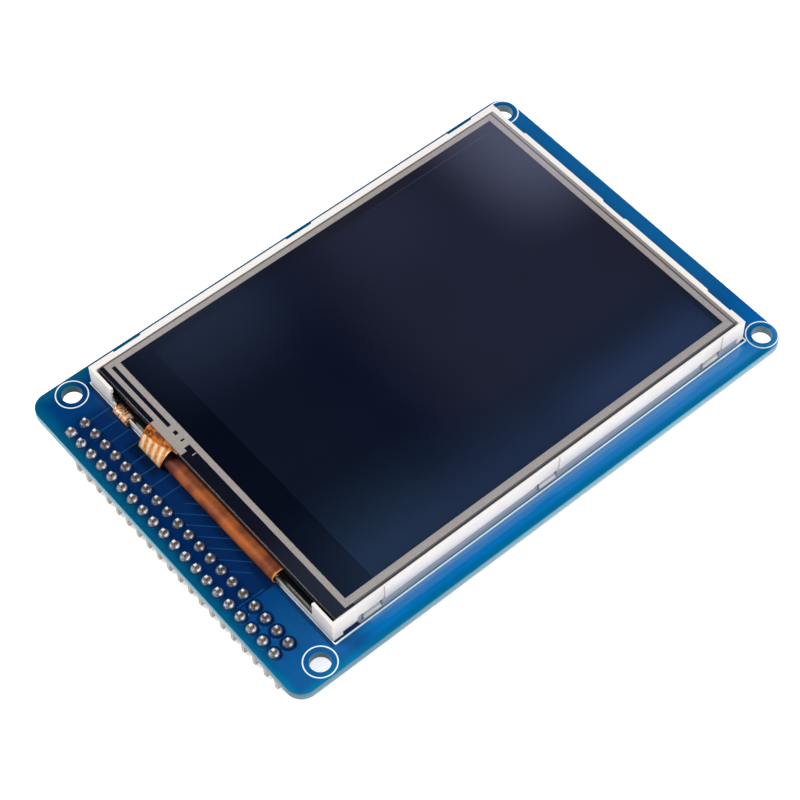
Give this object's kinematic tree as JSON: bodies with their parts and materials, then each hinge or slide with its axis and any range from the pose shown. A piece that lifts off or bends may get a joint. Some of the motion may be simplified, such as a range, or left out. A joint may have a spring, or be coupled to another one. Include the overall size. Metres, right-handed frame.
{
  "type": "touch display module",
  "caption": "Colour touch display in a white frame on a blue circuit board, with a pin header under its near end, mounting holes in its corners and a card socket on its back.",
  "frame": {"origin": "centre of the rectangle of mounting holes, on the board's back face", "axes": "+X to the right across the screen, +Y from the pin header to the far end, +Z out of the screen"},
  "size_m": [0.0646, 0.0943, 0.0147],
  "materials": {
    "blue_mask": "blue solder mask, half gloss, with white print",
    "black_plastic": "black moulded plastic",
    "gold_plate": "thin gold plate",
    "solder": "bright solder",
    "tape": "double sided tape",
    "tray_steel": "plain sheet steel",
    "white_film": "white film",
    "clear_acrylic": "clear acrylic",
    "amber_cable": "amber flat cable over copper",
    "gold_cable": "golden flat cable",
    "lamp": "pale yellow light source",
    "white_frame": "warm white moulded plastic",
    "polarizer": "dark film",
    "glass": "thin dark glass",
    "dark_adhesive": "dark adhesive",
    "silver_print": "silver print with a fine grain",
    "touch_film": "clear film over a dark screen",
    "chip_body": "black chip body",
    "tin": "tinned metal",
    "ceramic_tan": "tan ceramic",
    "ceramic_dark": "dark glazed ceramic"
  },
  "bodies": {
    "root": {"circuit_board": "blue_mask", "header_base": "black_plastic", "header_pins": "gold_plate", "solder_joints": "solder", "tape_strips": "tape", "backlight_tray": "tray_steel", "reflector_sheet": "white_film", "light_guide": "clear_acrylic", "diffuser_sheet": "white_film", "lower_prism_sheet": "clear_acrylic", "upper_prism_sheet": "clear_acrylic", "led_strip": "gold_cable", "backlight_leds": "lamp", "mould_frame": "white_frame", "rear_polarizer": "polarizer", "array_glass": "glass", "filter_glass": "glass", "front_polarizer": "polarizer", "driver_chip": "chip_body", "display_flex": "amber_cable", "touch_gasket": "dark_adhesive", "touch_glass": "glass", "touch_ring": "dark_adhesive", "silver_border": "silver_print", "touch_film": "touch_film", "touch_tail": "gold_cable", "socket_base": "black_plastic", "socket_shell": "tray_steel", "socket_contacts": "gold_plate", "touch_chip": "chip_body", "touch_chip_leads": "tin", "regulator": "chip_body", "regulator_leads": "tin", "capacitors": "ceramic_tan", "resistors": "ceramic_dark"}
  },
  "joints": []
}
